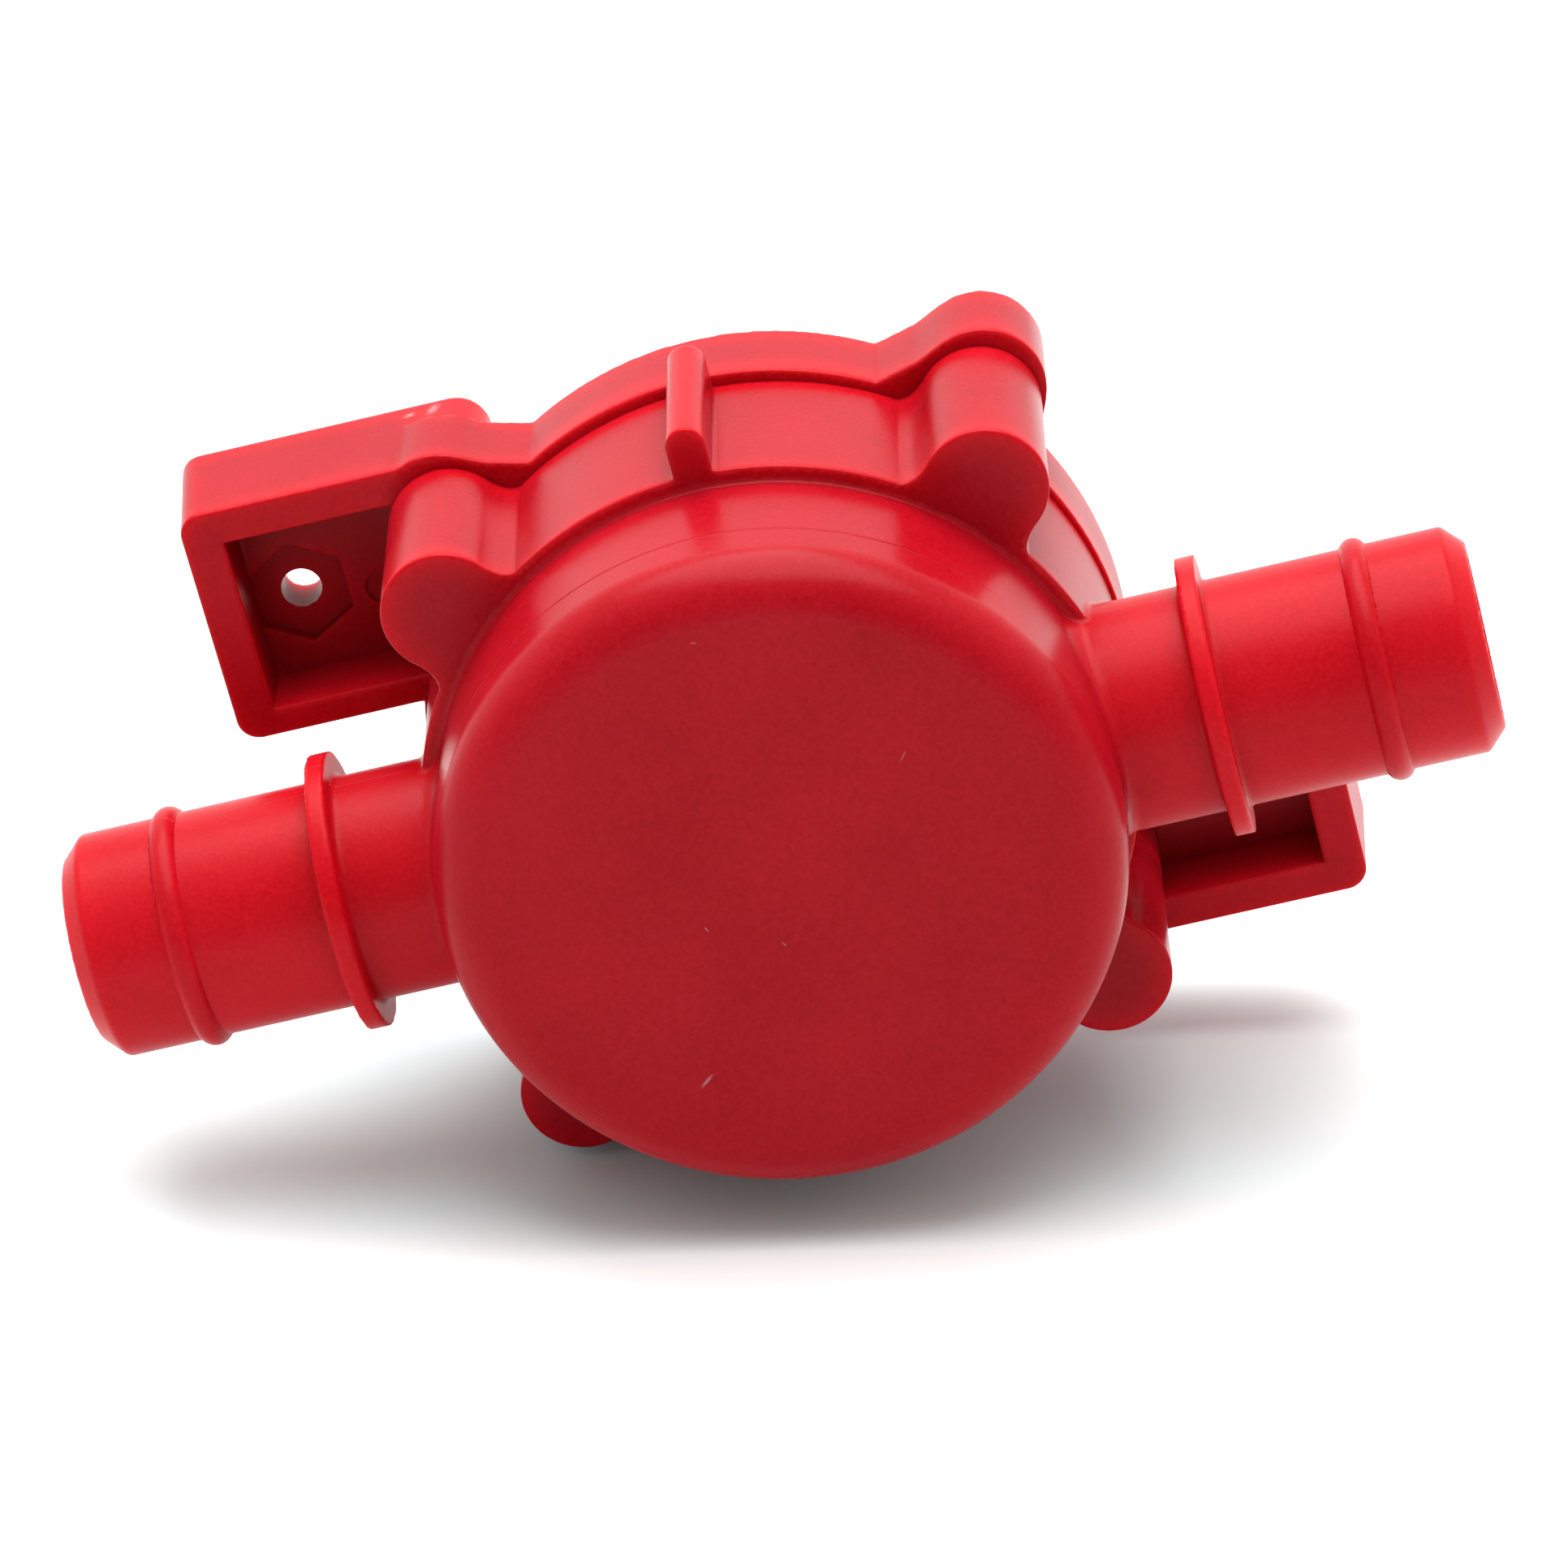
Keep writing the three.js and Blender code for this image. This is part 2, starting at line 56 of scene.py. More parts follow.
# Distances forward of the mounting plane.
DEPTH = 51.1
JOINT = 13.4
HALF_GAP = 0.05
COVER_FRONT = JOINT - HALF_GAP
BODY_BACK = JOINT + HALF_GAP
PORT_S = 31.9
TOWER_FRONT = 32.6
CHAMBER_FRONT = 47.7
FLANGE_BACK = 4.0
PLATE_BACK = 10.0
WITNESS_S = 42.65

# The body.
DRUM_R = 29.85
DRUM_EDGE_R = 5.0
RING_R = 31.3
CHAMBER_R = 26.4
TOWERS = (24.0, 24.0)
TOWER_R = 5.5
TOWER_ROOT_R = 1.4
CORNER_REACH = 26.2
PILOT_R = 1.85
PILOT_END = 27.0
RIB_HALF = 1.7
RIB_START = 26.0
RIB_END = 35.7
TAIL_R = 10.0
BORE_R = 7.6
TAIL_END = 62.8
TAIL_BEVEL = 1.8
BEAD_AT = 53.2
BEAD_R = 1.28
STOP_R = 12.33
STOP_X = (38.0, 39.7)
RAILS_X = ((-9.2, -7.7), (-3.2, -1.7))
RAIL_REACH_Z = 21.5
RAIL_BACK = 17.2
RAIL_HEIGHT = 3.2
LIP_REACH_Z = 20.0

# The cover.
FLANGE_R = 32.3
FLANGE_SQUEEZE = 0.98
EAR_REACH = 25.15 * math.sqrt(2)
EAR_R = 5.05
EAR_FLANK = math.radians(30.8)
EAR_RUN = 12.0
LOBES = (25.2, 25.2)
LOBE_R = 5.5
FOOT_END = -47.5
FOOT_INNER_TOP = -19.8
FOOT_INNER = -24.0
FOOT_STEP_Z = 20.0
FOOT_BOTTOM = 8.0
FOOT_TOP = 30.25
FOOT_EDGE_R = 2.0
FOOT_INNER_R = 3.2
POCKET_X = (-43.9, -24.0)
POCKET_Z = (10.5, 27.1)
POCKET_FLOOR = 6.0
NUT = (-39.8, 17.9)
NUT_HALF_FLAT = 4.27
NUT_FLOOR = 4.8
FOOT_HOLE = (-39.8, 17.8)
FOOT_HOLE_R = 1.85
DIMPLE = (-32.4, 16.7)
DIMPLE_R = 1.7
DIMPLE_FLOOR = 5.6
RECESS_R = 24.5
RECESS_RIB_HALF = 1.25
SCREW_HOLE_R = 2.1
SCREW_SINK_R = 4.4
GROOVE_R = 29.0
GROOVE_HALF = 1.1
GROOVE_DEPTH = 1.7
SOFT_EDGE = 0.25


# ---- Distance fields ----
# Each takes and gives arrays of signed distances in millimetres, negative inside the material.

def join(a, b, fillet=0.0):
    """Both shapes together, with a hollow fillet of that radius where they meet."""
    if not fillet:
        return np.minimum(a, b)
    u = np.maximum(fillet - a, 0.0)
    v = np.maximum(fillet - b, 0.0)
    return np.maximum(fillet, np.minimum(a, b)) - np.hypot(u, v)


def meet(a, b, rounding=0.0):
    """What two shapes share, with a rounded edge of that radius where their surfaces cross."""
    if not rounding:
        return np.maximum(a, b)
    u = np.maximum(rounding + a, 0.0)
    v = np.maximum(rounding + b, 0.0)
    return np.minimum(-rounding, np.maximum(a, b)) + np.hypot(u, v)


def carve(a, b, rounding=0.0):
    """The first shape without the second."""
    return meet(a, -b, rounding)


def slab(value, low, high):
    return np.abs(value - (low + high) / 2) - (high - low) / 2


def disc(x, z, centre, radius):
    return np.hypot(x - centre[0], z - centre[1]) - radius


def four_discs(x, z, centre, radius):
    """A disc in each quarter."""
    return disc(np.abs(x), np.abs(z), centre, radius)


def rectangle(x, z, left, right, bottom, top, corner):
    u = slab(x, left, right) + corner
    v = slab(z, bottom, top) + corner
    return np.hypot(np.maximum(u, 0), np.maximum(v, 0)) + np.minimum(np.maximum(u, v), 0) - corner


def hexagon(x, z, centre, half_flat):
    u, v = np.abs(x - centre[0]), np.abs(z - centre[1])
    return np.maximum(u, u * 0.5 + v * math.sqrt(0.75)) - half_flat


def ear_shape(x, z, aim, reach, radius, flank, run):
    """Round end with two flanks that spread back towards the middle."""
    along = reach - (x * math.cos(aim) + z * math.sin(aim))
    across = np.abs(-x * math.sin(aim) + z * math.cos(aim))
    side = (across * math.cos(flank) - along * math.sin(flank)) - radius
    round_end = np.hypot(along, across) - radius
    past = across * math.sin(flank) + along * math.cos(flank)
    return np.maximum(np.where(past > 0, side, round_end), along - run)


# ---- The two mouldings as fields ----

def drum(x, s, z):
    """Closed drum. Its front edge meets the flat face in a faint crease."""
    crease = 0.05
    rounded = meet(np.hypot(x, z) - DRUM_R, s - DEPTH - crease, DRUM_EDGE_R)
    return np.maximum(rounded, s - DEPTH)


def ring_outline(x, z):
    """Ring with square corners and four screw towers."""
    tower = four_discs(x, z, TOWERS, TOWER_R)
    corner = np.maximum(np.abs(x), np.abs(z)) - CORNER_REACH
    return join(np.hypot(x, z) - RING_R, join(corner, tower, TOWER_ROOT_R), 0.1)


def ring(x, s, z):
    """The ring with its towers, and a rib with a round end at the top and at the bottom."""
    rib = rectangle(x, np.abs(z), -RIB_HALF, RIB_HALF, RIB_START, RIB_END, RIB_HALF - 0.01)
    outline = join(ring_outline(x, z), rib, 0.3)
    return meet(outline, s - TOWER_FRONT, SOFT_EDGE)


def tails(x, s, z):
    """Both hose tails: a tube with a stop flange, a bead and a bevelled end."""
    along = np.abs(x)
    rho = np.hypot(s - PORT_S, z)
    bead_sunk = 0.55
    bead = np.hypot(along - BEAD_AT, rho - TAIL_R + bead_sunk) - BEAD_R
    stop = meet(rho - STOP_R, slab(along, *STOP_X), SOFT_EDGE)
    tube = join(np.minimum(rho - TAIL_R, bead), stop, 0.6)
    tube = meet(tube, along - TAIL_END)
    bevel = (rho + along - (TAIL_END + TAIL_R - TAIL_BEVEL)) * math.sqrt(0.5)
    return meet(tube, bevel, 0.2)


def body_field(x, s, z):
    """Drum, ring and tails, hollowed by the chamber, the bores and the screws' pilot holes."""
    shape = join(drum(x, s, z), tails(x, s, z), 1.3)
    shape = join(shape, ring(x, s, z), 0.5)
    shape = meet(shape, BODY_BACK - s, SOFT_EDGE)
    rho = np.hypot(x, z)
    chamber = meet(rho - CHAMBER_R, s - CHAMBER_FRONT, 1.0)
    shape = carve(shape, chamber, 0.4)
    bore = np.hypot(s - PORT_S, z) - BORE_R
    shape = carve(shape, bore, 0.4)
    pilots = four_discs(x, z, TOWERS, PILOT_R)
    shape = carve(shape, meet(pilots, s - PILOT_END), 0.2)
    return join(shape, guide_rails(x, s, z))


def rail_pair(x):
    """Two rails, one on each side of the divider."""
    first, second = RAILS_X
    return np.minimum(slab(x, *first), slab(x, *second))


def guide_rails(x, s, z):
    """Rails in the chamber that hold the divider's edges. They end 1 mm inside the walls."""
    beside = np.maximum(RAIL_REACH_Z - np.abs(z), RAIL_BACK - s)
    in_front = CHAMBER_FRONT - RAIL_HEIGHT - s
    wall = meet(np.hypot(x, z) - CHAMBER_R - 1.0, s - CHAMBER_FRONT - 1.0)
    return np.maximum(np.maximum(rail_pair(x), np.minimum(beside, in_front)), wall)


def flange_outline(x, z):
    """Flange with four ears: straight flanks and a round end that stands a little proud of them."""
    wide = x / FLANGE_SQUEEZE
    outline = np.hypot(wide, z) - FLANGE_R
    for quarter in range(4):
        aim = math.pi / 4 + quarter * math.pi / 2
        ear = ear_shape(wide, z, aim, EAR_REACH, EAR_R, EAR_FLANK, EAR_RUN)
        outline = join(outline, ear, 0.15)
    return join(outline, four_discs(wide, z, LOBES, LOBE_R), 1.2)


def foot(x, s, z, flange):
    """Foot at -X, +Z: a block whose outer sides spread towards the mounting plane. Its inner end
    reaches further in beside the ear. Behind it the flange's outline runs down to that plane."""
    draft = 1 - s / COVER_FRONT
    spread = 0.6 * draft
    top = FOOT_TOP + 0.3 * draft
    inner_top = x - FOOT_INNER_TOP
    past_inner = -10.0
    outer = rectangle(x, z, FOOT_END - spread, past_inner, FOOT_BOTTOM - spread, top, FOOT_EDGE_R)
    block = meet(outer, inner_top, FOOT_INNER_R)
    block = np.maximum(block, np.minimum(x - FOOT_INNER, np.maximum(inner_top, FOOT_STEP_Z - z)))
    block = meet(meet(block, s - COVER_FRONT, SOFT_EDGE), -s, SOFT_EDGE)
    root = meet(meet(flange, inner_top, FOOT_INNER_R), FOOT_BOTTOM - z, 0.2)
    root = np.maximum(meet(root, s - FLANGE_BACK - 1), z - top)
    return np.minimum(block, meet(root, -s, SOFT_EDGE))


def foot_pocket(x, s, z):
    """What is hollow in that foot: an open pocket that ends at the ring, a hexagon in its floor, a
    round dimple, and the hole that goes through."""
    hollow = rectangle(x, z, *POCKET_X, *POCKET_Z, 0.15)
    hollow = np.maximum(hollow, POCKET_FLOOR - s)
    hollow = np.maximum(hollow, -ring_outline(x, z))
    nut = np.maximum(hexagon(x, z, NUT, NUT_HALF_FLAT), NUT_FLOOR - s)
    hollow = np.minimum(hollow, np.maximum(nut, s - POCKET_FLOOR - 0.05))
    hole = disc(x, z, FOOT_HOLE, FOOT_HOLE_R)
    dimple = np.maximum(disc(x, z, DIMPLE, DIMPLE_R), DIMPLE_FLOOR - s)
    dimple = np.maximum(dimple, s - POCKET_FLOOR - 1.0)
    return np.minimum(np.minimum(hollow, hole), dimple)


def cover_field(x, s, z):
    """Flange with two feet, each the other turned by half a turn. The back has a recess with cross
    ribs, the front a groove for the O-ring and lips that hold the divider."""
    outline = flange_outline(x, z)
    shape = meet(meet(outline, s - COVER_FRONT, SOFT_EDGE), FLANGE_BACK - s, 0.3)
    for turn in (1, -1):
        shape = join(shape, foot(turn * x, s, turn * z, outline), 0.15)
    for turn in (1, -1):
        shape = carve(shape, foot_pocket(turn * x, s, turn * z), 0.15)
    rho = np.hypot(x, z)
    ribs = np.minimum(np.abs(x), np.abs(z)) - RECESS_RIB_HALF
    recess = meet(rho - RECESS_R, s - PLATE_BACK, 0.8)
    recess = carve(recess, ribs, 0.5)
    shape = carve(shape, recess, 0.4)
    groove = np.maximum(np.abs(rho - GROOVE_R) - GROOVE_HALF, COVER_FRONT - GROOVE_DEPTH - s)
    shape = carve(shape, groove, 0.15)
    holes = four_discs(x, z, TOWERS, SCREW_HOLE_R)
    sinks = meet(four_discs(x, z, TOWERS, SCREW_SINK_R), s - FLANGE_BACK)
    shape = carve(carve(shape, holes), sinks, 0.3)
    lips = meet(rail_pair(x), np.abs(z) - LIP_REACH_Z)
    lips = meet(lips, slab(s, COVER_FRONT - 1.0, COVER_FRONT + RAIL_HEIGHT))
    return np.minimum(shape, lips)


# ---- Contouring ----

def grid_axis(low, high, step, margin=2):
    """Evenly spaced values from a little below low to a little above high."""
    count = int(math.ceil((high - low) / step)) + 2 * margin
    middle = (low + high) / 2
    return middle + (np.arange(count + 1) - count / 2) * step


def slopes(field, points, reach=0.02):
    """Unit gradient of the field at an array of points."""
    out = np.empty_like(points)
    for axis in range(3):
        ahead, behind = points.copy(), points.copy()
        ahead[:, axis] += reach
        behind[:, axis] -= reach
        out[:, axis] = field(*ahead.T) - field(*behind.T)
    return out / np.maximum(np.linalg.norm(out, axis=1, keepdims=True), 1e-9)


def contour(field, low, high, step):
    """Dual contouring: one vertex in each cell that the surface crosses, placed where the tangent
    planes of its edge crossings meet. Gives vertices and quads."""
    axes = [grid_axis(low[i], high[i], step) for i in range(3)]
    grid = np.meshgrid(*axes, indexing="ij", sparse=True)
    values = field(*[g.astype(np.float32) for g in grid]).astype(np.float32)
    inside = values < 0
    cells = [n - 1 for n in values.shape]
    rows, points, normals, quads = [], [], [], []
    for axis in range(3):
        first = [slice(None)] * 3
        second = [slice(None)] * 3
        first[axis] = slice(0, -1)
        second[axis] = slice(1, None)
        change = inside[tuple(first)] != inside[tuple(second)]
        at = np.argwhere(change)
        a = values[tuple(first)][change]
        b = values[tuple(second)][change]
        spot = np.stack([axes[i][at[:, i]] for i in range(3)], axis=1)
        spot[:, axis] += step * a / (a - b)
        spot = refine(field, spot, axis, step)
        slope = slopes(field, spot)
        u, v = [i for i in range(3) if i != axis]
        around = []
        for du, dv in ((0, 0), (1, 0), (1, 1), (0, 1)):
            cell = at.copy()
            cell[:, u] -= du
            cell[:, v] -= dv
            around.append((cell[:, 0] * cells[1] + cell[:, 1]) * cells[2] + cell[:, 2])
            rows.append(around[-1])
            points.append(spot)
            normals.append(slope)
        faces = np.stack(around, axis=1)
        flip = (a < 0) != (axis == 1)
        faces[flip] = faces[flip][:, ::-1]
        quads.append(faces)
    rows, points, normals = np.concatenate(rows), np.concatenate(points), np.concatenate(normals)
    quads = np.concatenate(quads)
    used, index = np.unique(rows, return_inverse=True)
    vertices = place_vertices(used, index, points, normals, axes, cells, step)
    return vertices, np.searchsorted(used, quads)


def refine(field, spot, axis, step):
    """Two secant steps along the axis bring each crossing onto the surface."""
    reach, least = 0.01, 0.2
    for _ in range(2):
        here = field(*spot.T)
        ahead = spot.copy()
        ahead[:, axis] += reach
        rate = (field(*ahead.T) - here) / reach
        rate = np.where(np.abs(rate) < least, np.sign(rate) * least + (rate == 0) * least, rate)
        spot = spot.copy()
        spot[:, axis] -= np.clip(here / rate, -step / 4, step / 4)
    return spot


def place_vertices(used, index, points, normals, axes, cells, step):
    """Least squares for each cell, held near the mean of its crossings and inside the cell."""
    hold = 0.02
    count = np.bincount(index, minlength=len(used)).astype(float)
    mean = np.stack([np.bincount(index, points[:, i]) for i in range(3)], axis=1) / count[:, None]
    offset = ((points - mean[index]) * normals).sum(axis=1)
    square = np.empty((len(used), 3, 3))
    right = np.empty((len(used), 3))
    for i in range(3):
        right[:, i] = np.bincount(index, normals[:, i] * offset)
        for j in range(3):
            square[:, i, j] = np.bincount(index, normals[:, i] * normals[:, j])
    square += np.eye(3) * hold * count[:, None, None]
    shift = np.linalg.solve(square, right[:, :, None])[:, :, 0]
    vertices = mean + shift
    cell = np.stack(np.unravel_index(used, cells), axis=1)
    low = np.stack([axes[i][cell[:, i]] for i in range(3)], axis=1)
    return np.clip(vertices, low, low + step)


def mesh_of(name, vertices, quads):
    """A mesh of quads, made in one go from the arrays."""
    mesh = bpy.data.meshes.new(name)
    mesh.vertices.add(len(vertices))
    mesh.vertices.foreach_set("co", vertices.astype(np.float32).ravel())
    mesh.loops.add(quads.size)
    mesh.loops.foreach_set("vertex_index", quads.astype(np.int32).ravel())
    mesh.polygons.add(len(quads))
    mesh.polygons.foreach_set("loop_start", np.arange(0, quads.size, 4, dtype=np.int32))
    mesh.update(calc_edges=True)
    mesh.validate()
    return mesh


def read(collection, key, width, kind=np.float32):
    """One property of every element of a mesh collection."""
    out = np.empty(len(collection) * width, kind)
    collection.foreach_get(key, out)
    return out.reshape(-1, width) if width > 1 else out


def shade_from_field(mesh, field):
    """Corner normals from the field. A corner takes the vertex's own normal unless the surface just
    inside its face points another way, which keeps a hard edge hard."""
    def field_normals(at):
        at = at.astype(float) / MM
        slope = slopes(field, np.stack([at[:, 0], DEPTH / 2 - at[:, 1], at[:, 2]], axis=1), 0.01)
        slope[:, 1] *= -1
        return slope

    co = read(mesh.vertices, "co", 3)
    corner = read(mesh.loops, "vertex_index", 1, np.int32)
    count = read(mesh.polygons, "loop_total", 1, np.int32)
    owner = np.repeat(np.arange(len(count)), count)
    middle = read(mesh.polygons, "center", 3)[owner]
    smooth = field_normals(co)[corner]
    inner = field_normals(co[corner] + (middle - co[corner]) * 0.15)
    hard_from = math.radians(22)
    hard = (smooth * inner).sum(axis=1) < math.cos(hard_from)
    mesh.polygons.foreach_set("use_smooth", np.ones(len(mesh.polygons), bool))
    mesh.normals_split_custom_set(np.where(hard[:, None], inner, smooth).tolist())


def moulding(name, field, low, high, step, most_triangles):
    """A mesh object of the field, thinned where it is flat, with normals taken from the field."""
    step = step
    vertices, quads = contour(field, low, high, step)
    placed = np.stack([vertices[:, 0], DEPTH / 2 - vertices[:, 1], vertices[:, 2]], axis=1) * MM
    mesh = mesh_of(name, placed, quads)
    obj = bpy.data.objects.new(name, mesh)
    bpy.context.scene.collection.objects.link(obj)
    triangles = 2 * len(quads)
    if triangles > most_triangles:
        thin = obj.modifiers.new("thin", "DECIMATE")
        thin.ratio = most_triangles / triangles
        depsgraph = bpy.context.evaluated_depsgraph_get()
        obj.data = bpy.data.meshes.new_from_object(obj.evaluated_get(depsgraph))
        obj.modifiers.clear()
        bpy.data.meshes.remove(mesh)
        obj.data.name = name
    shade_from_field(obj.data, field)
    return obj


GRID = 0.36
BODY_TRIANGLES = 190000
COVER_TRIANGLES = 150000

body_low, body_high = (-TAIL_END, 13.5, -RIB_END), (TAIL_END, DEPTH, RIB_END)
body = moulding("body_moulding", body_field, body_low, body_high, GRID, BODY_TRIANGLES)
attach(body, "housing")
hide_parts("valve_body")

cover_low, cover_high = (-48.2, 0.0, -RIB_END), (48.2, 16.5, RIB_END)
cover = moulding("cover_moulding", cover_field, cover_low, cover_high, GRID, COVER_TRIANGLES)
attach(cover, "housing")
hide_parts("rear_cover")


# ---- Materials ----

def new_material(name):
    """A material of nodes, with its tree and its shader."""
    material = bpy.data.materials.new(name)
    material.use_nodes = True
    nodes = material.node_tree.nodes
    shader = next(n for n in nodes if n.type == "BSDF_PRINCIPLED")
    return material, material.node_tree, shader


def add_node(tree, kind, inputs=None, **settings):
    """A node with its inputs set, or linked where a socket is given."""
    node = tree.nodes.new(kind)
    for key, value in settings.items():
        setattr(node, key, value)
    for key, value in (inputs or {}).items():
        if isinstance(value, bpy.types.NodeSocket):
            tree.links.new(value, node.inputs[key])
        else:
            node.inputs[key].default_value = value
    return node


def linear(red, green, blue):
    """Linear colour of a display colour from 0 to 255."""
    def channel(value):
        value /= 255
        return value / 12.92 if value <= 0.04045 else ((value + 0.055) / 1.055) ** 2.4
    return (channel(red), channel(green), channel(blue), 1.0)


def noise(tree, place, scale, detail):
    inputs = {"Vector": place, "Scale": scale, "Detail": detail}
    return add_node(tree, "ShaderNodeTexNoise", inputs).outputs["Fac"]


def map_range(tree, value, source, target, **settings):
    inputs = {"Value": value, "From Min": source[0], "From Max": source[1]}
    inputs.update({"To Min": target[0], "To Max": target[1]})
    return add_node(tree, "ShaderNodeMapRange", inputs, **settings).outputs["Result"]


def mix_colours(node, first, second):
    """Sets the two colours of a colour Mix node, whose sockets share their names with others."""
    colours = [socket for socket in node.inputs if socket.type == "RGBA"]
    colours[0].default_value, colours[1].default_value = first, second


def output_of(node):
    return next(socket for socket in node.outputs if socket.type == "RGBA")


def math_node(tree, operation, first, second=0.0, third=0.0):
    """A Math node's result. Its operands are sockets or numbers."""
    inputs = {0: first, 1: second, 2: third}
    return add_node(tree, "ShaderNodeMath", inputs, operation=operation).outputs["Value"]


def band(tree, value, middle, half_width):
    """1 in the middle of a narrow band of the value, falling to 0 at its edges."""
    away = math_node(tree, "ABSOLUTE", math_node(tree, "SUBTRACT", value, middle))
    return map_range(tree, away, (0.0, half_width), (1.0, 0.0), interpolation_type="SMOOTHSTEP")


def step_up(tree, value, low, high):
    """0 at the first value, 1 at the second."""
    return map_range(tree, value, (low, high), (0.0, 1.0))


def scratch(tree, across, up, start, end, half_width):
    """A short straight mark between two points of a flat face, in millimetres."""
    start, end = Vector(start) * MM, Vector(end) * MM
    run = end - start
    middle = (start + end) / 2
    aim = run.normalized()
    along = math_node(tree, "MULTIPLY_ADD", across, aim.x, -middle.dot(aim))
    along = math_node(tree, "MULTIPLY_ADD", up, aim.y, along)
    beside = math_node(tree, "MULTIPLY_ADD", across, -aim.y, middle.x * aim.y - middle.y * aim.x)
    beside = math_node(tree, "MULTIPLY_ADD", up, aim.x, beside)
    length = band(tree, along, 0.0, run.length / 2)
    return math_node(tree, "MULTIPLY", length, band(tree, beside, 0.0, half_width * MM))


def total(tree, masks):
    """The sum of some masks."""
    value = masks[0]
    for mask in masks[1:]:
        value = math_node(tree, "ADD", value, mask)
    return value


def painted_thin_glow(tree):
    """Painted glow: raises red where less than about 3 mm of plastic lies behind the surface, standing
    in for light that shines through thin plastic.
    """
    inside = add_node(tree, "ShaderNodeAmbientOcclusion", {"Distance": 3.3 * MM},
                      inside=True, only_local=True, samples=4)
    lift = map_range(tree, inside.outputs["AO"], (0.0, 1.0), (1.7, 1.0))
    return add_node(tree, "ShaderNodeCombineXYZ", {"X": lift, "Y": 1.0, "Z": 1.0}).outputs["Vector"]


BLACK = (0, 0, 0, 1)
RED_DARK = (0.268, 0.0012, 0.0050, 1)
RED_LIGHT = (0.336, 0.0046, 0.0112, 1)
RED_WORN = (0.46, 0.20, 0.21, 1)

# Marks in millimetres: start, end and half width. On the front face, across and up.
FRONT_MARKS = (
    ((-7.3, -1.8), (-6.9, -2.5), 0.10),
    ((-1.2, -4.8), (-0.8, -5.4), 0.08),
    ((-9.8, -15.6), (-11.4, -16.9), 0.22),
    ((-2.0, 24.2), (-1.3, 24.0), 0.08),
    ((12.5, 9.1), (13.4, 10.2), 0.06),
)
# On top of the left foot, across and back.
FOOT_SCUFFS = (
    ((-27.2, 23.2), (-25.8, 24.1), 0.6),
    ((-24.7, 22.4), (-23.9, 25.2), 0.7),
)


